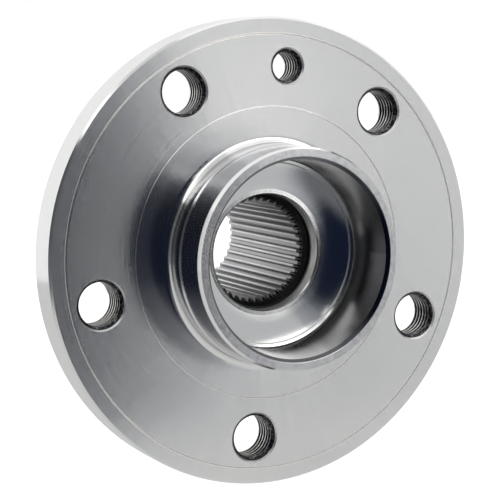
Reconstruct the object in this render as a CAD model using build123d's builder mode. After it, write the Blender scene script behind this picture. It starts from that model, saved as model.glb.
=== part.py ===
from build123d import *
import os
from math import cos, pi, radians, sin

# Hub unit of a driven car wheel: a flanged hub with a splined bore that turns on two rows of
# balls inside an outer ring, and the outer ring bolts to the steering knuckle.
# The wheel turns about the Y axis.  -Y is outboard, towards the wheel, and +Z is up.
# The origin is on the axis, in the outer ring's mounting face.  Millimetres.
# Every place along the axis is an outboard distance from that mounting face.

# Wheel flange of the hub
FLANGE_DIAMETER = 135.6
FLANGE_THICKNESS = 11.0
FLANGE_FRONT_CHAMFER = 0.6
FLANGE_BACK_CHAMFER = 0.3
LINE_GROOVE_RADIUS = 63.05
LINE_GROOVE_WIDTH = 0.5
LINE_GROOVE_DEPTH = 0.2
FACE_RELIEF_RADIUS = 42.4
FACE_RELIEF_DEPTH = 0.1
WHEEL_BOLT_CIRCLE = 108.0
WHEEL_BOLT_COUNT = 5
WHEEL_BOLT_THREAD = 14.0
FIRST_BOLT_ANGLE = 48.4
LOCATING_SCREW_THREAD = 10.0
THREAD_MOUTH_CHAMFER = 0.42

# Pilot that centres the brake disc and the wheel, and the recess inside it
DISC_REGISTER_DIAMETER = 64.1
DISC_REGISTER_HEIGHT = 6.0
WHEEL_PILOT_DIAMETER = 63.3
PILOT_HEIGHT = 18.5
PILOT_ROOT_FILLET = 2.2
PILOT_OUTER_CHAMFER = 0.65
PILOT_OUTER_CHAMFER_LENGTH = 1.3
RECESS_MOUTH_DIAMETER = 56.2
RECESS_MOUTH_CHAMFER = 1.0
RECESS_DRAFT = 0.8
RECESS_CORNER_HEIGHT = 0.5
RECESS_CORNER_FILLET = 1.6
BOWL_DEPTH = 2.9
BOWL_SAG = 0.5
BOWL_MOUTH_RADIUS = 18.5

# Splined bore for the drive shaft
ENTRY_BORE_DIAMETER = 34.0
ENTRY_BORE_DEPTH = 8.0
ENTRY_BORE_CHAMFER = 0.3
LEAD_IN_STEP = 0.4
LEAD_IN_SLOPE = 1.5
SPLINE_TEETH = 40
SPLINE_ROOT_DIAMETER = 31.1
SPLINE_TIP_DIAMETER = 28.9
SPLINE_SPACE_AT_TIP = 1.50
SPLINE_SPACE_AT_ROOT = 0.95
BORE_END_CHAMFER = 0.9

# Two rows of balls and their raceways
BALL_DIAMETER = 10.319
BALLS_PER_ROW = 13
BALL_CIRCLE_DIAMETER = 55.0
ROW_SPACING = 17.0
ROWS_MIDDLE = 4.5
CONTACT_ANGLE = 40.0
GROOVE_TO_BALL = 0.52
BALL_CLEARANCE = 0.03
LOW_SHOULDER = 0.35
INNER_SHOULDER = 3.5
OUTER_SHOULDER = 3.4

# Hub spindle and the inner ring pressed on it
SPINDLE_ROOT_FILLET = 1.8
INNER_SEAT_DIAMETER = 38.0
ROW_TO_INNER_END = 16.0
INNER_BORE_CHAMFER = 1.2
INNER_EDGE_CHAMFER = 0.6
FORMED_RIM_THICKNESS = 3.0
FORMED_RIM_DIAMETER = 47.6
FORMED_RIM_FILLET = 1.8

# Outer ring with its knuckle flange
BARREL_DIAMETER = 77.0
SPIGOT_DIAMETER = 70.0
ROW_TO_OUTBOARD_END = 8.5
ROW_TO_INBOARD_END = 11.0
RING_TO_FLANGE_GAP = 2.5
RING_EDGE_CHAMFER = 0.8
SPIGOT_LEAD_CHAMFER = 1.2
SPIGOT_UNDERCUT = 0.4
SEAL_SEAT_STEP = 0.75
KNUCKLE_FLANGE_THICKNESS = 11.0
KNUCKLE_BOLT_THREAD = 12.0
KNUCKLE_BOLT_SPACING_X = 65.0
KNUCKLE_BOLT_SPACING_Z = 68.0
LOBE_RADIUS = 10.0
LOBE_ROOT_FILLET = 5.0
LOBE_EDGE_CHAMFER = 0.8
KNUCKLE_THREAD_CHAMFER = 0.4

# Ball cages
CAGE_CLEARANCE = 0.45
CAGE_WALL = 4.2
CAGE_BACK = 1.1
CAGE_PRONG = 2.6
POCKET_CLEARANCE = 0.2
PRONG_NOTCH_WIDTH = 1.0
PRONG_NOTCH_DEPTH = 1.6

# Seals, slinger and encoder
SHEET = 0.5
LIP = 0.45
LIP_GAP = 0.05
SEAL_INSET = 0.3
OUTBOARD_SEAL_DEPTH = 1.5
INBOARD_SEAL_DEPTH = 3.0
CASSETTE_DEPTH = 4.0
LIP_REACH = 3.8
SLINGER_GAP = 0.7
ENCODER_THICKNESS = 0.9
ENCODER_WIDTH = 4.4

# Radii
ball_radius = BALL_DIAMETER / 2
pitch_radius = BALL_CIRCLE_DIAMETER / 2
groove_radius = BALL_DIAMETER * GROOVE_TO_BALL
groove_shift = groove_radius - ball_radius - BALL_CLEARANCE
groove_shift_radial = groove_shift * cos(radians(CONTACT_ANGLE))
groove_shift_axial = groove_shift * sin(radians(CONTACT_ANGLE))
inner_groove_bottom = pitch_radius + groove_shift_radial - groove_radius
outer_groove_bottom = pitch_radius - groove_shift_radial + groove_radius
inner_low_land = inner_groove_bottom + LOW_SHOULDER
inner_high_land = inner_groove_bottom + INNER_SHOULDER
outer_low_land = outer_groove_bottom - LOW_SHOULDER
outer_high_land = outer_groove_bottom - OUTER_SHOULDER
flange_radius = FLANGE_DIAMETER / 2
bolt_circle_radius = WHEEL_BOLT_CIRCLE / 2
inner_seat_radius = INNER_SEAT_DIAMETER / 2
seal_seat_radius = outer_low_land + SEAL_SEAT_STEP
spigot_radius = SPIGOT_DIAMETER / 2
barrel_radius = BARREL_DIAMETER / 2

# Places along the axis
outboard_row = ROWS_MIDDLE + ROW_SPACING / 2
inboard_row = ROWS_MIDDLE - ROW_SPACING / 2
ring_outboard_end = outboard_row + ROW_TO_OUTBOARD_END
ring_inboard_end = inboard_row - ROW_TO_INBOARD_END
flange_back = ring_outboard_end + RING_TO_FLANGE_GAP
wheel_face = flange_back + FLANGE_THICKNESS
pilot_rim = wheel_face + PILOT_HEIGHT
inner_ring_end = inboard_row - ROW_TO_INNER_END
spindle_end = inner_ring_end - FORMED_RIM_THICKNESS

# Half section of a turned piece: local x is the radius and local y points outboard
SECTION = Plane(origin=(0, 0, 0), x_dir=(1, 0, 0), z_dir=(0, 0, -1))


def across(place):
    """Plane square to the axis at an outboard distance, facing outboard, with x to the right."""
    return Plane.XZ.offset(place)


def section(*points):
    """Half section with straight sides through (radius, place) points."""
    with BuildSketch(SECTION) as face:
        with BuildLine():
            Polyline(*points, close=True)
        make_face()
    return face.sketch


def groove(row, radius_shift, place_shift):
    """Round section of a raceway groove beside a row of balls."""
    with BuildSketch(SECTION) as face:
        with Locations((pitch_radius + radius_shift, row + place_shift)):
            Circle(groove_radius)
    return face.sketch


def ball_places(row):
    """Centres of one row's balls, the first straight up."""
    steps = [2 * pi * i / BALLS_PER_ROW for i in range(BALLS_PER_ROW)]
    return [(pitch_radius * sin(a), -row, pitch_radius * cos(a)) for a in steps]


def pocket_frames(row, outward):
    """One plane for each ball of a row: z points away from the axis and x along the prongs."""
    return [
        Plane(origin=centre, x_dir=(0, outward, 0), z_dir=(centre[0], 0, centre[2]))
        for centre in ball_places(row)
    ]


def save(builder, name):
    """Label the finished piece and write its STEP file."""
    builder.part.label = name
    export_step(builder.part, f"parts/{name}.step")


os.makedirs("parts", exist_ok=True)


# Wheel hub: forging with the wheel flange, the pilot and the spindle in one piece.
# The spindle end is spread over the inner ring after assembly, which leaves the formed rim.
disc_radius = DISC_REGISTER_DIAMETER / 2
pilot_radius = WHEEL_PILOT_DIAMETER / 2
recess_radius = RECESS_MOUTH_DIAMETER / 2
relief_face = wheel_face - FACE_RELIEF_DEPTH
recess_corner = wheel_face + RECESS_CORNER_HEIGHT
bowl_floor = wheel_face - BOWL_DEPTH
register_step = disc_radius - pilot_radius
rim_radius = FORMED_RIM_DIAMETER / 2

with BuildPart() as wheel_hub:
    with BuildSketch(SECTION) as hub_section:
        with BuildLine():
            Polyline(
                (0, bowl_floor),
                (0, spindle_end),
                (rim_radius, spindle_end),
                (rim_radius, inner_ring_end),
                (inner_seat_radius + INNER_BORE_CHAMFER, inner_ring_end),
                (inner_seat_radius, inner_ring_end + INNER_BORE_CHAMFER),
                (inner_seat_radius, ROWS_MIDDLE),
                (inner_low_land, ROWS_MIDDLE),
                (inner_low_land, outboard_row),
                (inner_high_land, outboard_row),
                (inner_high_land, flange_back),
                (flange_radius - FLANGE_BACK_CHAMFER, flange_back),
                (flange_radius, flange_back + FLANGE_BACK_CHAMFER),
                (flange_radius, wheel_face - FLANGE_FRONT_CHAMFER),
                (flange_radius - FLANGE_FRONT_CHAMFER, wheel_face),
                (FACE_RELIEF_RADIUS, wheel_face),
                (FACE_RELIEF_RADIUS - FACE_RELIEF_DEPTH, relief_face),
                (disc_radius, relief_face),
                (disc_radius, wheel_face + DISC_REGISTER_HEIGHT),
                (pilot_radius, wheel_face + DISC_REGISTER_HEIGHT + register_step),
                (pilot_radius, pilot_rim - PILOT_OUTER_CHAMFER_LENGTH),
                (pilot_radius - PILOT_OUTER_CHAMFER, pilot_rim),
                (recess_radius + RECESS_MOUTH_CHAMFER, pilot_rim),
                (recess_radius, pilot_rim - RECESS_MOUTH_CHAMFER),
                (recess_radius - RECESS_DRAFT, recess_corner),
            )
            SagittaArc(
                (recess_radius - RECESS_DRAFT, recess_corner),
                (BOWL_MOUTH_RADIUS, bowl_floor),
                BOWL_SAG,
            )
            Line((BOWL_MOUTH_RADIUS, bowl_floor), (0, bowl_floor))
        make_face()
        corners = hub_section.vertices()
        fillet(corners.sort_by_distance((disc_radius, relief_face))[0], PILOT_ROOT_FILLET)
        fillet(corners.sort_by_distance((inner_high_land, flange_back))[0], SPINDLE_ROOT_FILLET)
        fillet(corners.sort_by_distance((rim_radius, spindle_end))[0], FORMED_RIM_FILLET)
        recess_edge = (recess_radius - RECESS_DRAFT, recess_corner)
        fillet(corners.sort_by_distance(recess_edge)[0], RECESS_CORNER_FILLET)
    revolve(axis=Axis.Y)

    # Raceway of the outboard row, ground in the spindle
    outboard_groove = groove(outboard_row, groove_shift_radial, -groove_shift_axial)
    revolve(outboard_groove, axis=Axis.Y, mode=Mode.SUBTRACT)

    # Line groove near the rim of the wheel face
    line_groove = section(
        (LINE_GROOVE_RADIUS - LINE_GROOVE_WIDTH / 2, wheel_face),
        (LINE_GROOVE_RADIUS, wheel_face - LINE_GROOVE_DEPTH),
        (LINE_GROOVE_RADIUS + LINE_GROOVE_WIDTH / 2, wheel_face),
    )
    revolve(line_groove, axis=Axis.Y, mode=Mode.SUBTRACT)

    # Entry bore, lead-in cone and the cone at the inboard mouth
    entry_radius = ENTRY_BORE_DIAMETER / 2
    spline_root = SPLINE_ROOT_DIAMETER / 2
    spline_tip = SPLINE_TIP_DIAMETER / 2
    entry_end = wheel_face - ENTRY_BORE_DEPTH
    lead_in_radius = entry_radius - LEAD_IN_STEP
    lead_in_end = entry_end - lead_in_radius * LEAD_IN_SLOPE
    entry = section(
        (0, bowl_floor),
        (entry_radius + ENTRY_BORE_CHAMFER, bowl_floor),
        (entry_radius, bowl_floor - ENTRY_BORE_CHAMFER),
        (entry_radius, entry_end),
        (lead_in_radius, entry_end),
        (0, lead_in_end),
    )
    revolve(entry, axis=Axis.Y, mode=Mode.SUBTRACT)
    end_cone_radius = spline_root + BORE_END_CHAMFER
    inboard_mouth = section(
        (0, spindle_end),
        (end_cone_radius, spindle_end),
        (0, spindle_end + end_cone_radius),
    )
    revolve(inboard_mouth, axis=Axis.Y, mode=Mode.SUBTRACT)

    # Splined bore: the tip circle with a tapering space between each pair of teeth
    with BuildSketch(across(spindle_end)):
        Circle(spline_tip)
        with PolarLocations(0, SPLINE_TEETH):
            Polygon(
                (0, -SPLINE_SPACE_AT_TIP / 2),
                (spline_tip, -SPLINE_SPACE_AT_TIP / 2),
                (spline_root, -SPLINE_SPACE_AT_ROOT / 2),
                (spline_root, SPLINE_SPACE_AT_ROOT / 2),
                (spline_tip, SPLINE_SPACE_AT_TIP / 2),
                (0, SPLINE_SPACE_AT_TIP / 2),
                align=None,
            )
    extrude(amount=entry_end - spindle_end, mode=Mode.SUBTRACT)

    # Tapped holes for the wheel bolts, and the smaller one for the disc's locating screw
    bolt_radius = WHEEL_BOLT_THREAD / 2
    locating_radius = LOCATING_SCREW_THREAD / 2
    locating_angle = FIRST_BOLT_ANGLE + 180 / WHEEL_BOLT_COUNT
    with Locations(across(wheel_face)):
        with PolarLocations(bolt_circle_radius, WHEEL_BOLT_COUNT, start_angle=FIRST_BOLT_ANGLE):
            CounterSinkHole(bolt_radius, bolt_radius + THREAD_MOUTH_CHAMFER)
        with PolarLocations(bolt_circle_radius, 1, start_angle=locating_angle):
            CounterSinkHole(locating_radius, locating_radius + THREAD_MOUTH_CHAMFER)
    with Locations(across(flange_back).rotated((180, 0, 0))):
        with PolarLocations(bolt_circle_radius, WHEEL_BOLT_COUNT, start_angle=-FIRST_BOLT_ANGLE):
            CounterSinkHole(bolt_radius, bolt_radius + THREAD_MOUTH_CHAMFER)
        with PolarLocations(bolt_circle_radius, 1, start_angle=-locating_angle):
            CounterSinkHole(locating_radius, locating_radius + THREAD_MOUTH_CHAMFER)
save(wheel_hub, "wheel_hub")


# Inner ring: pressed on the spindle and held by the formed rim; carries the inboard raceway
with BuildPart() as inner_ring:
    ring_section = section(
        (inner_seat_radius, ROWS_MIDDLE - INNER_EDGE_CHAMFER),
        (inner_seat_radius + INNER_EDGE_CHAMFER, ROWS_MIDDLE),
        (inner_low_land - INNER_EDGE_CHAMFER, ROWS_MIDDLE),
        (inner_low_land, ROWS_MIDDLE - INNER_EDGE_CHAMFER),
        (inner_low_land, inboard_row),
        (inner_high_land, inboard_row),
        (inner_high_land, inner_ring_end + INNER_EDGE_CHAMFER),
        (inner_high_land - INNER_EDGE_CHAMFER, inner_ring_end),
        (inner_seat_radius + INNER_BORE_CHAMFER, inner_ring_end),
        (inner_seat_radius, inner_ring_end + INNER_BORE_CHAMFER),
    )
    revolve(ring_section, axis=Axis.Y)
    inboard_groove = groove(inboard_row, groove_shift_radial, groove_shift_axial)
    revolve(inboard_groove, axis=Axis.Y, mode=Mode.SUBTRACT)
save(inner_ring, "inner_ring")


# Outer ring: two raceways inside, seal seats at both ends, and four tapped lobes that bolt
# to the knuckle with the spigot in the knuckle's bore
with BuildPart() as outer_ring:
    # Knuckle flange with one lobe for each bolt
    bolt_x = KNUCKLE_BOLT_SPACING_X / 2
    bolt_z = KNUCKLE_BOLT_SPACING_Z / 2
    with BuildSketch(across(0)) as lobes:
        Circle(barrel_radius)
        for side in (1, -1):
            for height in (1, -1):
                with BuildLine():
                    arm = Line((0, 0), (side * bolt_x, height * bolt_z))
                SlotCenterToCenter(
                    2 * arm.length, 2 * LOBE_RADIUS, rotation=arm.tangent_angle_at(0)
                )
        root_corners = lobes.vertices().filter_by(
            lambda corner: abs((corner.X**2 + corner.Y**2) ** 0.5 - barrel_radius) < 0.01
        )
        fillet(root_corners, LOBE_ROOT_FILLET)
    extrude(amount=KNUCKLE_FLANGE_THICKNESS)
    flange_edges = edges().filter_by(Plane.XZ)
    chamfer(flange_edges, LOBE_EDGE_CHAMFER)

    # Barrel outboard of the flange and spigot inboard of it
    body = section(
        (0, ring_outboard_end),
        (barrel_radius - RING_EDGE_CHAMFER, ring_outboard_end),
        (barrel_radius, ring_outboard_end - RING_EDGE_CHAMFER),
        (barrel_radius, LOBE_EDGE_CHAMFER),
        (spigot_radius, LOBE_EDGE_CHAMFER),
        (spigot_radius, ring_inboard_end + SPIGOT_LEAD_CHAMFER),
        (spigot_radius - SPIGOT_LEAD_CHAMFER / 2, ring_inboard_end),
        (0, ring_inboard_end),
    )
    revolve(body, axis=Axis.Y)

    # Undercut in the corner between the spigot and the mounting face
    undercut = section(
        (spigot_radius, -2 * SPIGOT_UNDERCUT),
        (spigot_radius - SPIGOT_UNDERCUT, -SPIGOT_UNDERCUT),
        (spigot_radius - SPIGOT_UNDERCUT, SPIGOT_UNDERCUT),
        (spigot_radius + SPIGOT_UNDERCUT, SPIGOT_UNDERCUT),
        (spigot_radius + 2 * SPIGOT_UNDERCUT, 0),
    )
    revolve(undercut, axis=Axis.Y, mode=Mode.SUBTRACT)

    # Through bore: seal seats, low lands, and the rib between the two rows
    outboard_seat_end = ring_outboard_end - SEAL_INSET - OUTBOARD_SEAL_DEPTH
    inboard_seat_end = ring_inboard_end + CASSETTE_DEPTH + SEAL_INSET
    bore = section(
        (0, ring_outboard_end),
        (seal_seat_radius + SEAL_INSET, ring_outboard_end),
        (seal_seat_radius, ring_outboard_end - SEAL_INSET),
        (seal_seat_radius, outboard_seat_end),
        (outer_low_land, outboard_seat_end),
        (outer_low_land, outboard_row),
        (outer_high_land, outboard_row),
        (outer_high_land, inboard_row),
        (outer_low_land, inboard_row),
        (outer_low_land, inboard_seat_end),
        (seal_seat_radius, inboard_seat_end),
        (seal_seat_radius, ring_inboard_end + SEAL_INSET),
        (seal_seat_radius + SEAL_INSET, ring_inboard_end),
        (0, ring_inboard_end),
    )
    revolve(bore, axis=Axis.Y, mode=Mode.SUBTRACT)
    for row, outward in ((outboard_row, 1), (inboard_row, -1)):
        race = groove(row, -groove_shift_radial, outward * groove_shift_axial)
        revolve(race, axis=Axis.Y, mode=Mode.SUBTRACT)

    # Tapped holes for the knuckle bolts, chamfered on both faces
    knuckle_radius = KNUCKLE_BOLT_THREAD / 2
    outboard_face = across(KNUCKLE_FLANGE_THICKNESS)
    for face in (outboard_face, across(0).rotated((180, 0, 0))):
        with Locations(face):
            with GridLocations(KNUCKLE_BOLT_SPACING_X, KNUCKLE_BOLT_SPACING_Z, 2, 2):
                CounterSinkHole(knuckle_radius, knuckle_radius + KNUCKLE_THREAD_CHAMFER)
save(outer_ring, "outer_ring")


# Balls: steel spheres, each a piece of its own
for row_name, row in (("outboard", outboard_row), ("inboard", inboard_row)):
    for number, centre in enumerate(ball_places(row), start=1):
        with BuildPart() as ball:
            with Locations(centre):
                Sphere(ball_radius)
        save(ball, f"{row_name}_ball_{number:02d}")


# Cages: moulded crowns that snap over the balls from the end of the bearing and keep them apart
cage_inner = inner_high_land + CAGE_CLEARANCE
cage_outer = cage_inner + CAGE_WALL
pocket_radius = ball_radius + POCKET_CLEARANCE
for row_name, row, outward in (("outboard", outboard_row, 1), ("inboard", inboard_row, -1)):
    cage_back = row + outward * (ball_radius + CAGE_BACK)
    prong_tips = row - outward * CAGE_PRONG
    with BuildPart() as cage:
        crown = section(
            (cage_inner, cage_back),
            (cage_outer, cage_back),
            (cage_outer, prong_tips),
            (cage_inner, prong_tips),
        )
        revolve(crown, axis=Axis.Y)
        with Locations(*pocket_frames(row, outward)):
            Sphere(pocket_radius, mode=Mode.SUBTRACT)
        # Notch between the two prongs of neighbouring pockets
        notch_middle = prong_tips + outward * PRONG_NOTCH_DEPTH / 2
        with BuildSketch(across(notch_middle)):
            notch_angle = 90 + 180 / BALLS_PER_ROW
            notch_place = (cage_inner + cage_outer) / 2
            with PolarLocations(notch_place, BALLS_PER_ROW, start_angle=notch_angle):
                Rectangle(2 * CAGE_WALL, PRONG_NOTCH_WIDTH)
        extrude(amount=PRONG_NOTCH_DEPTH / 2, both=True, mode=Mode.SUBTRACT)
    save(cage, f"{row_name}_cage")


# Outboard seal: a pressed steel case in the outer ring with a moulded rubber lip ring on it.
# One lip runs on the spindle land and two on the back of the wheel flange.
case_mouth = ring_outboard_end - SEAL_INSET
case_floor = case_mouth - OUTBOARD_SEAL_DEPTH
case_inner = inner_high_land + LIP_REACH
with BuildPart() as outboard_seal_case:
    shell = section(
        (seal_seat_radius, case_mouth),
        (seal_seat_radius, case_floor),
        (case_inner, case_floor),
        (case_inner, case_floor + SHEET),
        (seal_seat_radius - SHEET, case_floor + SHEET),
        (seal_seat_radius - SHEET, case_mouth),
    )
    revolve(shell, axis=Axis.Y)
save(outboard_seal_case, "outboard_seal_case")

land_contact = inner_high_land + LIP_GAP
back_contact = flange_back - LIP_GAP
rubber_top = case_floor + SHEET + LIP
first_lip = case_inner - LIP
second_lip = case_inner + 2 * LIP
lip_reach = back_contact - rubber_top
with BuildPart() as outboard_seal_lips:
    rubber = section(
        (seal_seat_radius - SHEET, case_floor + SHEET),
        (case_inner, case_floor + SHEET),
        (case_inner, case_floor),
        (case_inner - LIP, case_floor),
        (land_contact, case_floor + LIP),
        (land_contact, case_floor + 2 * LIP),
        (first_lip - LIP, rubber_top),
        (first_lip + lip_reach / 2, back_contact),
        (first_lip + lip_reach / 2 + LIP, back_contact),
        (first_lip + LIP, rubber_top),
        (second_lip + LIP, rubber_top),
        (second_lip + LIP + lip_reach / 2, back_contact),
        (second_lip + 2 * LIP + lip_reach / 2, back_contact),
        (second_lip + 2 * LIP, rubber_top),
        (seal_seat_radius - SHEET, rubber_top),
    )
    revolve(rubber, axis=Axis.Y)
save(outboard_seal_lips, "outboard_seal_lips")


# Inboard cassette seal: the case and its lips stand still in the outer ring, and the slinger
# turns with the inner ring and carries the encoder
cassette_mouth = ring_inboard_end + SEAL_INSET
cassette_floor = ring_inboard_end + CASSETTE_DEPTH
inboard_case_mouth = cassette_floor - INBOARD_SEAL_DEPTH
sleeve_radius = inner_high_land + SHEET
with BuildPart() as inboard_seal_case:
    shell = section(
        (seal_seat_radius, inboard_case_mouth),
        (seal_seat_radius, cassette_floor),
        (case_inner, cassette_floor),
        (case_inner, cassette_floor - SHEET),
        (seal_seat_radius - SHEET, cassette_floor - SHEET),
        (seal_seat_radius - SHEET, inboard_case_mouth),
    )
    revolve(shell, axis=Axis.Y)
save(inboard_seal_case, "inboard_seal_case")

slinger_outer = seal_seat_radius - SLINGER_GAP
with BuildPart() as slinger:
    shell = section(
        (inner_high_land, cassette_floor),
        (sleeve_radius, cassette_floor),
        (sleeve_radius, cassette_mouth + SHEET),
        (slinger_outer, cassette_mouth + SHEET),
        (slinger_outer, cassette_mouth),
        (inner_high_land, cassette_mouth),
    )
    revolve(shell, axis=Axis.Y)
save(slinger, "slinger")

sleeve_contact = sleeve_radius + LIP_GAP
disc_contact = cassette_mouth + SHEET + LIP_GAP
rubber_base = cassette_floor - SHEET - LIP
axial_reach = rubber_base - disc_contact
with BuildPart() as inboard_seal_lips:
    rubber = section(
        (seal_seat_radius - SHEET, cassette_floor - SHEET),
        (case_inner, cassette_floor - SHEET),
        (case_inner, cassette_floor),
        (case_inner - LIP, cassette_floor),
        (sleeve_contact, cassette_floor - LIP),
        (sleeve_contact, cassette_floor - 2 * LIP),
        (case_inner - LIP, rubber_base),
        (case_inner + LIP, rubber_base),
        (case_inner + LIP + axial_reach / 2, disc_contact),
        (case_inner + 2 * LIP + axial_reach / 2, disc_contact),
        (case_inner + 2 * LIP, rubber_base),
        (seal_seat_radius - SHEET, rubber_base),
    )
    revolve(rubber, axis=Axis.Y)
save(inboard_seal_lips, "inboard_seal_lips")

with BuildPart() as encoder_ring:
    track = section(
        (slinger_outer, cassette_mouth),
        (slinger_outer, cassette_mouth - ENCODER_THICKNESS),
        (slinger_outer - ENCODER_WIDTH, cassette_mouth - ENCODER_THICKNESS),
        (slinger_outer - ENCODER_WIDTH, cassette_mouth),
    )
    revolve(track, axis=Axis.Y)
save(encoder_ring, "encoder_ring")
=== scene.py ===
from math import cos, pi, radians, sin

import bpy
import numpy as np
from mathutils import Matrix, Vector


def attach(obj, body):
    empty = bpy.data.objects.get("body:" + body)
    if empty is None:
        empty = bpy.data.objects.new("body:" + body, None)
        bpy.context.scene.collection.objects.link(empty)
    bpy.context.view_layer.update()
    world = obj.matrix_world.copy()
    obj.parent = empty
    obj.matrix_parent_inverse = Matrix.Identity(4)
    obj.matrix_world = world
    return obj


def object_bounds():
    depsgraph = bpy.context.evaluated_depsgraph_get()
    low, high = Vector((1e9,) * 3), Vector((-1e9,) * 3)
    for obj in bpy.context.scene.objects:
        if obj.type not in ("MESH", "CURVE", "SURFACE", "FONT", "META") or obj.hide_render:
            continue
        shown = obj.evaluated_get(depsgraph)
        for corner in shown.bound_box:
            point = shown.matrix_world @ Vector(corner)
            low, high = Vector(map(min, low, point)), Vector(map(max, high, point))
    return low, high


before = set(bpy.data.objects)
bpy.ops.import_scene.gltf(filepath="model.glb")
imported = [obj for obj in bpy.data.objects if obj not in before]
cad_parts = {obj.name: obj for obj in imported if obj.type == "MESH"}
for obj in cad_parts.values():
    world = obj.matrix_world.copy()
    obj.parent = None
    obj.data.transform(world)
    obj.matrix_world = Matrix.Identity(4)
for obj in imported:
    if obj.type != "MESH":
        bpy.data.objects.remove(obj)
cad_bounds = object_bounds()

scene = bpy.context.scene
scene.view_settings.view_transform = "Standard"


# Camera: a long lens a little under half a metre away, left of the hub's axis and just above it,
# turned to look straight down its own line at the hub
camera = bpy.data.objects.new("camera", bpy.data.cameras.new("camera"))
camera.data.lens = 114.02
camera.data.sensor_width = 36.0
camera.location = (-0.212275, -0.43722, 0.05304)
camera.rotation_euler = (radians(90 - 6.532), 0, radians(-27.055))
scene.collection.objects.link(camera)
scene.camera = camera


class Shade:
    """One output of a shader node, so that shader maths reads as ordinary sums."""

    def __init__(self, tree, socket=None):
        self.tree = tree
        self.socket = socket

    def node(self, kind, settings=None, inputs=None, output=0):
        """Adds any node: its settings first, then its inputs as values or links."""
        made = self.tree.nodes.new("ShaderNode" + kind)
        for name, value in (settings or {}).items():
            setattr(made, name, value)
        for name, value in (inputs or {}).items():
            if isinstance(value, Shade):
                self.tree.links.new(value.socket, made.inputs[name])
            else:
                made.inputs[name].default_value = value
        return Shade(self.tree, made.outputs[output])

    def maths(self, operation, *values):
        """A Math node over this value and any others."""
        return self.node("Math", {"operation": operation}, dict(enumerate((self, *values))))

    def __add__(self, other):
        return self.maths("ADD", other)

    __radd__ = __add__

    def __mul__(self, other):
        return self.maths("MULTIPLY", other)

    __rmul__ = __mul__

    def __sub__(self, other):
        return self.maths("SUBTRACT", other)

    def __rsub__(self, other):
        return self * -1 + other

    def __truediv__(self, other):
        return self.maths("DIVIDE", other)

    def __pow__(self, other):
        return self.maths("POWER", other)

    def step(self, low, high, first=0.0, second=1.0):
        """Smooth change from first to second as this value goes from low to high."""
        ends = {"From Min": low, "From Max": high, "To Min": first, "To Max": second}
        return self.node("MapRange", {"interpolation_type": "SMOOTHSTEP"}, {"Value": self, **ends})

    def between(self, low, high, soft):
        """1 where this value lies from low to high, 0 outside, with soft ends."""
        return self.step(low - soft, low + soft) * self.step(high - soft, high + soft, 1.0, 0.0)

    def colour(self, first, second):
        """Colour from first to second, with this value as the share of second."""
        return self.node("Mix", {"data_type": "RGBA"}, {0: self, 6: first, 7: second}, 2)

    def vector(self, operation, other, output=0):
        """A Vector Math node over this vector and another."""
        return self.node("VectorMath", {"operation": operation}, {0: self, 1: other}, output)

    def scaled(self, factor):
        """This vector times a value."""
        return self.node("VectorMath", {"operation": "SCALE"}, {0: self, "Scale": factor})

    def part(self, axis):
        """One of the X, Y and Z parts of this vector."""
        return self.node("SeparateXYZ", inputs={0: self}, output=axis)


def rgb(red, green, blue):
    """Opaque linear colour."""
    return (red, green, blue, 1.0)


# Backdrop: plain white all round, so that the hub stands in an even studio
world = bpy.data.worlds.new("backdrop")
world.use_nodes = True
world.node_tree.nodes["Background"].inputs["Color"].default_value = (1.0, 1.0, 1.0, 1.0)
scene.world = world


def finish_surface(material, **settings):
    """Sets the inputs of a material's Principled shader to numbers, colours or shades."""
    shader = material.node_tree.nodes["Principled BSDF"]
    for key, value in settings.items():
        socket = shader.inputs[key.replace("_", " ").title().replace("Ior", "IOR")]
        if isinstance(value, Shade):
            material.node_tree.links.new(value.socket, socket)
        else:
            socket.default_value = value


def surface(name, **settings):
    """New material with these settings."""
    material = bpy.data.materials.new(name)
    material.use_nodes = True
    finish_surface(material, **settings)
    return material


def patterned(name):
    """New material, with a shade to start from and the place on the object for its patterns."""
    material = surface(name)
    start = Shade(material.node_tree)
    return material, start, start.node("TexCoord", output="Object")


def add_mesh(name, points, faces, smooth=False):
    """Object at the origin with a mesh through the points."""
    mesh = bpy.data.meshes.new(name)
    mesh.from_pydata(points.reshape(-1, 3).tolist(), [], faces)
    mesh.update()
    if smooth:
        mesh.shade_smooth()
    made = bpy.data.objects.new(name, mesh)
    scene.collection.objects.link(made)
    return made


# Floor: a plain white sheet that the flange's rim stands on, cut off just in front of the hub.
# It glows a little, as lit paper does, and steel doesn't mirror it; the grey sheet does that.
FLOOR_REACH = 3.0
FLOOR_FRONT = -0.09
floor_height = cad_bounds[0].z - 0.00002
floor_points = np.array(
    [
        (-FLOOR_REACH, FLOOR_FRONT, floor_height),
        (FLOOR_REACH, FLOOR_FRONT, floor_height),
        (FLOOR_REACH, FLOOR_REACH, floor_height),
        (-FLOOR_REACH, FLOOR_REACH, floor_height),
    ]
)
floor = add_mesh("floor", floor_points, [(0, 1, 2, 3)])
floor_white = surface(
    "floor_white",
    base_color=rgb(0.25, 0.25, 0.25),
    roughness=0.9,
    emission_color=rgb(0.95, 0.95, 0.95),
    emission_strength=1.0,
)
floor.data.materials.append(floor_white)
floor.visible_glossy = False

# Grey sheet in the floor's place, seen only in reflections, so that the lower faces of the hub
# mirror something dimmer than the white floor
sheet = add_mesh("grey_sheet", floor_points, [(0, 1, 2, 3)])
sheet.visible_camera = False
sheet.visible_diffuse = False
sheet.data.materials.append(
    surface(
        "sheet_grey",
        base_color=rgb(0.0, 0.0, 0.0),
        specular_ior_level=0.0,
        emission_color=rgb(0.65, 0.65, 0.65),
        emission_strength=1.0,
    )
)


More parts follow.
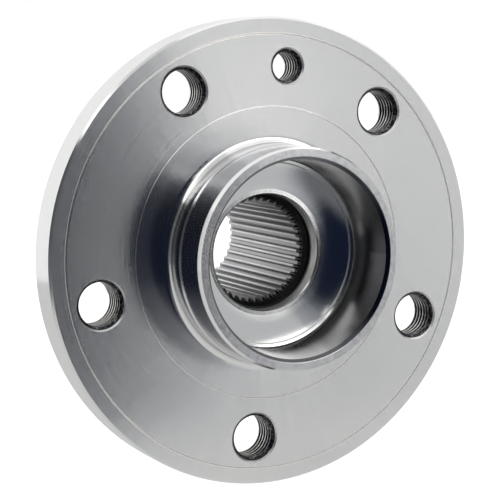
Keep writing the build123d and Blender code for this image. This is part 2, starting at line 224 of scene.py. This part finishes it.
# Light tent: a pale dome round the hub, lit brightest from above, with the dark opening that the
# camera looks in through, a dark spot and a small lamp beside it.  Seen only in reflections.
# The dome is a sphere: centre + radius (cos u cos v, sin u cos v, sin v).
TENT_RADIUS = 0.4
TENT_CENTRE = np.array([0.0, -0.04, 0.0])
TENT_TURNS, TENT_RINGS = 96, 49
u = np.linspace(0, 2 * pi, TENT_TURNS, endpoint=False)[:, None]
v = np.linspace(-pi / 2, pi / 2, TENT_RINGS)[None, :]
tent_points = np.stack([np.cos(u) * np.cos(v), np.sin(u) * np.cos(v), np.sin(v) + 0 * u], -1)
tent_points = TENT_CENTRE + TENT_RADIUS * tent_points
tent_faces = []
for i in range(TENT_TURNS):
    row, next_row = i * TENT_RINGS, (i + 1) % TENT_TURNS * TENT_RINGS
    for j in range(TENT_RINGS - 1):
        tent_faces.append((row + j, row + j + 1, next_row + j + 1, next_row + j))
tent = add_mesh("light_tent", tent_points, tent_faces)
tent.visible_camera = False
tent_cloth, start, place = patterned("tent_cloth")
place = place.vector("SUBTRACT", TENT_CENTRE).scaled(1 / TENT_RADIUS)
azimuth = place.part("X").maths("ARCTAN2", place.part("Y") * -1) * (180 / pi)
elevation = place.part("Z").maths("ARCSINE") * (180 / pi)


def away(first, second, reach_first, reach_second, power=2.0):
    """Distance from a centre, as a share of the reach each way (superellipse)."""
    first = (first / reach_first).maths("ABSOLUTE") ** power
    second = (second / reach_second).maths("ABSOLUTE") ** power
    return (first + second) ** (1 / power)


# the opening, wider towards the hub's left side than to its right
tilt = radians(11)
aside = azimuth + 5.9
above = elevation + 4.3
across_opening = aside * cos(tilt) + above * sin(tilt)
up_opening = above * cos(tilt) - aside * sin(tilt)
reach_across = across_opening.maths("GREATER_THAN", 0.0) * (25.8 - 39.1) + 39.1
reach_up = up_opening.maths("GREATER_THAN", 0.0) * (28.9 - 24.9) + 24.9
opening = away(across_opening, up_opening, reach_across, reach_up, 1.4).step(0.73, 1.27)
# the dark spot
spot = away(azimuth - 22.4, elevation + 7.7, 7.8, 10).step(0.44, 1.56)
# side walls, from the dim left to the bright right
rise = radians(19.3)
bright = (azimuth * cos(rise) + elevation * sin(rise)).step(-5.1, 20.1, 0.135, 0.516)
# the lamp
lamp = away(azimuth - 24.6, elevation + 5.1, 9.2, 9.2)
bright = bright + lamp.step(0.1, 1.9, 1.8, 0.0)
# the bright roof
roof = (elevation - azimuth * 0.02).step(35.3, 40.2)
high_roof = elevation.step(48.0, 60.0, 2.23, 1.1)
bright = bright + roof * (high_roof - bright)
# a seam from the middle of the right side up to the roof: dimmer to its left
seam = radians(118.42)
beside = place.vector("DOT_PRODUCT", (-sin(seam), 0.0, cos(seam)), "Value") + 0.375
dim = beside.step(-0.013, 0.013) * elevation.step(-6.1, 1.9)
SEAM_DIMS = 0.37
bright = bright * (1 - dim * SEAM_DIMS)
# the doorway to the left of the opening
door = azimuth.between(-64.0, -25.0, 4.0) * elevation.between(-24.0, 30.0, 6.0)
bright = bright * opening * spot * (1 - door * 0.95)
# a narrow lamp over the opening
slot = away(azimuth + 12.3, elevation - 32.1, 3.2, 3.2)
bright = bright + slot.step(0.1, 1.9, 1.61, 0.0)
# behind the hub
behind = azimuth.maths("ABSOLUTE").step(85.0, 105.0)
BEHIND_LEVEL, DARKEST = 0.95, 0.008
bright = bright + behind * (BEHIND_LEVEL - bright) + DARKEST
# the opening is faintly blue, and so are the dimmer walls
cloth = opening.colour(rgb(0.0, 0.003, 0.017), rgb(0.0, 0.0, 0.0))
tint = bright.step(0.25, 0.7).colour(rgb(0.94, 0.985, 1.06), rgb(1.0, 1.0, 1.0))
cloth = cloth.vector("ADD", tint.scaled(bright))
finish_surface(
    tent_cloth,
    base_color=rgb(0.0, 0.0, 0.0),
    specular_ior_level=0.0,
    emission_color=cloth,
    emission_strength=1.0,
)
tent_cloth.cycles.emission_sampling = "NONE"
tent.data.materials.append(tent_cloth)


def new_steel(name):
    """A material with the places that turned pieces need: radius and outboard place in mm,
    the direction across the turning grooves, and the surface normal."""
    material, start, place = patterned(name)
    x, y, z = (place.part(axis) * 1000 for axis in "XYZ")
    radius = (x * x + z * z) ** 0.5
    around = start.node("CombineXYZ", inputs={"X": z / radius * -1, "Y": 0.0, "Z": x / radius})
    to_world = {"vector_type": "VECTOR", "convert_from": "OBJECT", "convert_to": "WORLD"}
    around = start.node("VectorTransform", to_world, {0: around})
    normal = start.node("NewGeometry", output="Normal")
    across = normal.vector("CROSS_PRODUCT", around)
    return material, start, place, radius, y * -1, normal, across


def place_angle(start):
    """Angle round the hub's axis in degrees, from +X towards +Z."""
    place = start.node("TexCoord", output="Object")
    return place.part("Z").maths("ARCTAN2", place.part("X")) * (180 / pi)


def grooved(start, along, normal, across, spread, lines, slope=0.0):
    """Normal of a turned surface: tilted across the grooves, at random with a spread in
    radians, in visible lines, and by a slope of its own; chatter of the tool also tips it a
    little to the side, in faint bands that run outwards."""
    settings = {"Scale": 1.0, "Detail": 3.0, "Roughness": 0.6}
    grain = start.node("TexWhiteNoise", {"noise_dimensions": "1D"}, {"W": along * 1000}, "Color")
    grain = grain.vector("DOT_PRODUCT", (1.0, 1.0, 1.0), "Value")
    line = start.node("TexNoise", {"noise_dimensions": "1D"}, {"W": along * 1.3, **settings})
    tilt = (grain - 1.5) * 2 * spread + (line - 0.5) * lines + slope
    turned = place_angle(start)
    chatter = start.node("CombineXYZ", inputs={"X": turned / 2.2, "Y": along / 25, "Z": 0.0})
    chatter = start.node("TexNoise", None, {"Vector": chatter, **settings}) - 0.5
    aside = across.vector("CROSS_PRODUCT", normal)
    tilted = normal.vector("ADD", across.scaled(tilt))
    tilted = tilted.vector("ADD", aside.scaled(chatter * 0.02))
    return tilted.node("VectorMath", {"operation": "NORMALIZE"}, {0: tilted})


def coat(node, material):
    """Gives a CAD node its material."""
    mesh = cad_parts[node].data
    mesh.materials.clear()
    mesh.materials.append(material)


# Wheel hub: one forging with the flange, the pilot and the splined bore, of bright steel turned
# on a lathe, so the grooves of the tool run round the axis.  Radii and places are in mm.
WHEEL_FACE = 35.0
BOLT_CIRCLE_RADIUS = 54
FIRST_BOLT_ANGLE, BOLT_STEP = 48.4, 72
LOCATOR_ANGLE = 84.4
# the grooves are counted along the radius plus this share of the place, so that faces and walls
# both get them
PLACE_SHARE = 1.37
HUB_STEEL = rgb(0.85, 0.85, 0.842)
hub_steel, start, place, radius, outboard, normal, across = new_steel("hub_turned_steel")
angle = place_angle(start)
on_face = outboard.between(34.85, 35.15, 0.05) * radius.step(33.0, 34.5)
on_rim = outboard.step(53.3, 53.45)
on_side = radius.step(67.6, 67.75) * outboard.step(24.0, 24.2)
flat = on_face.maths("MAXIMUM", on_rim).maths("MAXIMUM", on_side)
spread = flat.step(0.0, 1.0, 0.026, 0.105)

# the recess wall is coloured darker all round, as painted shade in the recess
recess_wall_painted_shade = radius.between(26.6, 28.9, 0.1) * outboard.step(35.8, 36.6)

# painted highlight: a bright, rougher ring on the corner between the recess wall and the bowl
corner = radius.between(26.15, 26.6, 0.12) * outboard.between(34.6, 36.2, 0.2)

# the mouth of the recess has an eased edge that faces forwards more than its flat
mouth = radius.between(28.0, 29.05, 0.05) * outboard.step(52.4, 52.5)

# the edge of the relief is broken by a narrow slope that faces outwards, and is coloured brighter
# as a painted highlight
relief_edge = radius.between(42.2, 42.52, 0.08) * outboard.step(34.8, 34.85)

# the turned line near the flange's edge is a dull little groove, coloured brighter as a painted
# highlight
line_groove = radius.between(62.75, 63.35, 0.12) * outboard.step(34.6, 34.75)

# mouths of the tapped holes: dull where the tap went in
half_step = BOLT_STEP / 2
folded = (angle - FIRST_BOLT_ANGLE + half_step + 360) / BOLT_STEP
folded = (folded.maths("FRACT") * BOLT_STEP - half_step) * (pi / 180)
locator = (angle - LOCATOR_ANGLE) * (pi / 180)


def from_hole(turn, reach):
    """Distance from a hole that lies on the bolt circle where turn is 0, as a share of reach."""
    outwards = radius * turn.maths("COSINE") - BOLT_CIRCLE_RADIUS
    return away(outwards, radius * turn.maths("SINE"), reach, reach)


from_bolt, from_pin = from_hole(folded, 7.5), from_hole(locator, 5.5)
in_hole = from_bolt.maths("MINIMUM", from_pin).step(0.985, 1.0, 1.0, 0.0)

# entry bore: coloured near black, rubbed bright in a ring where the drive shaft was put in
entry = radius.step(17.05, 17.35, 1.0, 0.0) * outboard.step(31.8, 32.0, 1.0, 0.0)
in_spline = radius.step(15.6, 15.7, 1.0, 0.0) * outboard.step(25.3, 25.5, 1.0, 0.0)
entry = entry * (1 - in_spline)
round_bore = start.node(
    "CombineXYZ", inputs={"X": angle / 24, "Y": outboard * 2.2, "Z": radius * 0.3}
)
rubs = start.node("TexNoise", None, {"Vector": round_bore, "Scale": 1.0, "Detail": 5.0})
rubbed = outboard.step(27.2, 29.2) * radius.step(16.8, 16.95)
rubbed = rubbed * rubs.step(0.25, 0.75, 0.45, 1.0) + rubs.step(0.55, 0.8, 0.05, 0.15)

# spline: bright worn crests, duller flanks, and slanting tooth ends that narrow to a point
TOOTH_ANGLE = 9.0
SLANT_FROM, SLANT_LENGTH = 23.8, 1.6
from_crest = ((angle + 360) / TOOTH_ANGLE).maths("FRACT") - 0.5
from_crest = from_crest.maths("ABSOLUTE")
slant = (outboard - SLANT_FROM) / SLANT_LENGTH
crest = from_crest.step(0.06, 0.12, 1.0, 0.0)
tooth_end = (from_crest - (1 - slant) * 0.17).step(-0.02, 0.03, 1.0, 0.0)
on_end = outboard.step(23.75, 23.85)
streak_place = start.node("CombineXYZ", inputs={"X": angle / 2, "Y": outboard / 6, "Z": radius})
streaks = start.node("TexNoise", None, {"Vector": streak_place, "Scale": 1.0, "Detail": 4.0})
tooth = crest * (1 - on_end) + tooth_end * on_end
tooth_steel = (tooth * streaks.step(0.3, 0.7, 0.5, 1.0)).colour(
    rgb(0.52, 0.52, 0.53), rgb(0.93, 0.93, 0.93)
)
end_steel = tooth_end.colour(rgb(0.03, 0.03, 0.03), rgb(0.75, 0.75, 0.75))
tooth_steel = on_end.colour(tooth_steel, end_steel)

# painted shade: the recess wall is coloured darker than the rest of the steel
base = recess_wall_painted_shade.colour(HUB_STEEL, rgb(0.22, 0.22, 0.225))
# painted highlight: the corner ring is coloured brighter than the steel
base = corner.colour(base, rgb(0.95, 0.95, 0.93))
# painted shade: the pilot's wall is coloured darker than the rest of the hub, and darker still on
# the register next to the face
pilot_wall = radius.between(31.3, 32.6, 0.1) * outboard.between(36.4, 52.4, 0.3)
register = outboard.step(40.95, 41.05, 1.0, 0.0)
pilot_painted_shade_steel = register.colour(rgb(0.68, 0.68, 0.69), rgb(0.56, 0.56, 0.57))
base = pilot_wall.colour(base, pilot_painted_shade_steel)
# painted highlight: both turned lines are coloured brighter than the steel round them
painted_highlight_edges = line_groove.maths("MAXIMUM", relief_edge)
base = painted_highlight_edges.colour(base, rgb(1.0, 0.98, 0.95))
tipped = mouth * -0.36 + relief_edge * -0.85 + line_groove * -0.5
marks = start.node("TexNoise", None, {"Vector": place, "Scale": 700.0, "Detail": 5.0})
rim_steel = marks.step(0.3, 0.6).colour(rgb(0.63, 0.63, 0.65), rgb(0.74, 0.74, 0.74))
base = on_rim.colour(base, rim_steel)
# painted shade: the walls of the tapped holes are coloured darker deeper in
hole_steel_painted_shade = outboard.step(33.2, 34.2).colour(rgb(0.4, 0.4, 0.4), rgb(0.85, 0.85, 0.84))
base = in_hole.colour(base, hole_steel_painted_shade)
base = entry.colour(base, rubbed.colour(rgb(0.03, 0.03, 0.034), rgb(1.0, 1.0, 0.97)))
base = in_spline.colour(base, tooth_steel)
dull = entry.maths("MAXIMUM", in_spline).maths("MAXIMUM", in_hole)
roughness = dull.step(0.0, 1.0, 0.12, 0.42)
roughness = roughness.maths("MAXIMUM", corner * 0.6).maths("MAXIMUM", painted_highlight_edges * 0.35)
lines = on_face * 0.03 + 0.05
along = radius + outboard * PLACE_SHARE
finish_surface(
    hub_steel,
    base_color=base,
    metallic=1.0,
    roughness=roughness,
    normal=grooved(start, along, normal, across, spread, lines, tipped),
)
coat("wheel_hub", hub_steel)


def thread_sleeve(name, centre, mouth, end, nominal, pitch):
    """Cut thread as a thin closed sleeve in a tapped hole, from place mouth to place end, in mm.
    Inner radius = minor + height x form(s / pitch - angle / 2 pi), where s is the depth below
    the mouth and form is a trapezium that stays on the minor radius for a quarter of the pitch
    and at the bottom for an eighth.  It is never under the 45 degree cones at both ends."""
    turns, steps = 96, int(abs(mouth - end) / pitch * 16)
    minor = nominal - 0.5413 * pitch
    bottom, outer = nominal - 0.07, nominal - 0.01
    angle = np.linspace(0, 2 * pi, turns, endpoint=False)[:, None]
    length = abs(mouth - end)
    depth = np.linspace(0, length, steps)[None, :]
    phase = (depth / pitch - angle / (2 * pi)) % 1.0
    ramp = 1 - np.abs(2 * phase - 1)
    form = np.clip((ramp - 0.25) / 0.625, 0, 1)
    inner = minor + (bottom - minor) * form
    inner = np.maximum(inner, bottom - np.minimum(depth, length - depth))
    radii = np.hstack([inner, np.full((turns, 2), outer)])
    places = np.repeat(np.hstack([mouth - depth, [[end, mouth]]]), turns, 0)
    x, z = centre[0] + radii * np.cos(angle), centre[1] + radii * np.sin(angle)
    points = np.stack([x, -places, z], -1)
    rows = steps + 2
    faces = []
    for i in range(turns):
        row, next_row = i * rows, (i + 1) % turns * rows
        for j in range(rows):
            k = (j + 1) % rows
            faces.append((row + j, next_row + j, next_row + k, row + k))
    return add_mesh(name, points / 1000, faces, smooth=True), minor


def thread_steel_painted_shade(name, centre, minor, mouth):
    """Cut steel: bright on the crests of the thread, with painted shade in its roots, and dull at
    the mouth.
    """
    material, start, place = patterned(name)
    x, y, z = (place.part(axis) * 1000 for axis in "XYZ")
    radius = ((x - centre[0]) ** 2 + (z - centre[1]) ** 2) ** 0.5
    crest = (radius - minor).step(0.02, 0.16, 1.0, 0.0)
    mottle = start.node("TexNoise", None, {"Vector": place, "Scale": 1500.0, "Detail": 5.0})
    depth = y + mouth
    dull = depth.step(2.5, 5.0, 1.0, 0.0) * 0.85
    # painted shade: the roots of the thread are coloured near black
    bright = crest * (1 - dull) * mottle.step(0.2, 0.6, 0.7, 1.0)
    bright = bright + mottle.step(0.45, 0.75) * dull * 0.4
    finish_surface(
        material,
        base_color=bright.colour(rgb(0.02, 0.02, 0.025), rgb(0.97, 0.96, 0.93)),
        metallic=1.0,
        roughness=crest.step(0.0, 1.0, 0.5, 0.22),
    )
    return material


# Threads of the five M14 wheel bolt holes and of the M10 hole for the locating screw: cut by a
# tap, 1.5 mm pitch, burnished on the crests and painted near black in the roots as painted shade
hub_holes = [
    (f"wheel_bolt_thread_{i + 1}", FIRST_BOLT_ANGLE + BOLT_STEP * i, 7.0) for i in range(5)
]
hub_holes.append(("locating_screw_thread", LOCATOR_ANGLE, 5.0))
for name, hole_angle, nominal in hub_holes:
    turn = radians(hole_angle)
    centre = (BOLT_CIRCLE_RADIUS * cos(turn), BOLT_CIRCLE_RADIUS * sin(turn))
    thread, minor = thread_sleeve(name, centre, 34.5, 24.5, nominal, 1.5)
    thread.data.materials.append(thread_steel_painted_shade(name, centre, minor, WHEEL_FACE))
    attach(thread, "rotating_hub")


# Outer ring: holds both outer raceways and bolts to the knuckle.  It is forged and left rough on
# its lobes, and machined on its faces, barrel and spigot.
ring_steel, start, place, radius, outboard, normal, across = new_steel("ring_forged_steel")
machined = radius.step(38.6, 38.8, 1.0, 0.0).maths("MAXIMUM", outboard.step(0.05, 0.1, 1.0, 0.0))
machined = machined.maths("MAXIMUM", outboard.step(10.9, 10.95))
scale_settings = {"Vector": place, "Scale": 700.0, "Detail": 6.0, "Roughness": 0.65}
scale_noise = start.node("TexNoise", None, scale_settings)
turned = grooved(start, radius + outboard * PLACE_SHARE, normal, across, 0.07, 0.06)
rough = start.node("Bump", None, {"Strength": 0.5, "Distance": 0.0002, "Height": scale_noise})
chosen = start.node("Mix", {"data_type": "VECTOR"}, {0: machined, 4: rough, 5: turned}, 1)
finish_surface(
    ring_steel,
    base_color=machined.colour(
        scale_noise.colour(rgb(0.06, 0.06, 0.065), rgb(0.16, 0.155, 0.15)), rgb(0.5, 0.5, 0.5)
    ),
    metallic=1.0,
    roughness=machined.step(0.0, 1.0, 0.55, 0.22),
    normal=chosen,
)
coat("outer_ring", ring_steel)

# Threads of the four M12 knuckle bolt holes in the outer ring's lobes: cut by a tap, 1.75 mm pitch
RING_FACE = 11.0
for i, (side, height) in enumerate(((1, 1), (-1, 1), (-1, -1), (1, -1))):
    name = f"knuckle_bolt_thread_{i + 1}"
    centre = (side * 32.5, height * 34.0)
    thread, minor = thread_sleeve(name, centre, 10.5, 0.5, 6.0, 1.75)
    thread.data.materials.append(thread_steel_painted_shade(name, centre, minor, RING_FACE))
    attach(thread, "fixed_ring")


# Inner ring: pressed on the spindle, with the inboard raceway; hardened and ground all over, so
# its grooves are finer than the hub's
ground_steel, start, place, radius, outboard, normal, across = new_steel("inner_ring_ground_steel")
finish_surface(
    ground_steel,
    base_color=rgb(0.6, 0.6, 0.61),
    metallic=1.0,
    roughness=0.14,
    normal=grooved(start, radius + outboard * PLACE_SHARE, normal, across, 0.03, 0.02),
)
coat("inner_ring", ground_steel)

# Balls: thirteen in each row, of lapped and polished bearing steel.  A lapped ball has no grooves
# or grain to be seen.
ball_steel = surface(
    "ball_polished_steel", base_color=rgb(0.72, 0.73, 0.75), metallic=1.0, roughness=0.04
)
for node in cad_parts:
    if "_ball_" in node:
        coat(node, ball_steel)

# Cages: crowns that keep each row of balls apart, moulded in glass-filled polyamide, which has a
# fine grain and a tan colour
cage_plastic, start, place = patterned("cage_polyamide")
grain = start.node("TexNoise", None, {"Vector": place, "Scale": 2500.0, "Detail": 4.0})
finish_surface(
    cage_plastic,
    base_color=grain.colour(rgb(0.46, 0.40, 0.27), rgb(0.60, 0.54, 0.38)),
    roughness=0.45,
    normal=start.node("Bump", None, {"Strength": 0.2, "Distance": 0.0001, "Height": grain}),
)
coat("outboard_cage", cage_plastic)
coat("inboard_cage", cage_plastic)

# Seal cases and slinger: the cases are pressed into the outer ring and the slinger on the inner
# ring, all of stainless sheet drawn round the axis
sheet_steel, start, place, radius, outboard, normal, across = new_steel("pressed_sheet_steel")
finish_surface(
    sheet_steel,
    base_color=rgb(0.5, 0.5, 0.5),
    metallic=1.0,
    roughness=0.25,
    normal=grooved(start, radius + outboard * PLACE_SHARE, normal, across, 0.04, 0.03),
)
for node in ("outboard_seal_case", "inboard_seal_case", "slinger"):
    coat(node, sheet_steel)

# Seal lips: moulded on the cases and bearing on the turning parts, of black nitrile rubber with
# a matt moulded skin
rubber, start, place = patterned("seal_nitrile_rubber")
skin = start.node("TexNoise", None, {"Vector": place, "Scale": 1800.0, "Detail": 4.0})
finish_surface(
    rubber,
    base_color=skin.colour(rgb(0.012, 0.012, 0.013), rgb(0.03, 0.03, 0.03)),
    roughness=0.55,
    normal=start.node("Bump", None, {"Strength": 0.25, "Distance": 0.0001, "Height": skin}),
)
coat("outboard_seal_lips", rubber)
coat("inboard_seal_lips", rubber)

# Encoder ring: bonded to the slinger for the wheel speed sensor, of rubber filled with magnetic
# powder, dark brown and smooth
magnet, start, place = patterned("encoder_magnetic_rubber")
powder = start.node("TexNoise", None, {"Vector": place, "Scale": 6000.0, "Detail": 3.0})
finish_surface(
    magnet,
    base_color=powder.colour(rgb(0.03, 0.026, 0.022), rgb(0.06, 0.052, 0.045)),
    roughness=powder.step(0.3, 0.7, 0.35, 0.5),
)
coat("encoder_ring", magnet)
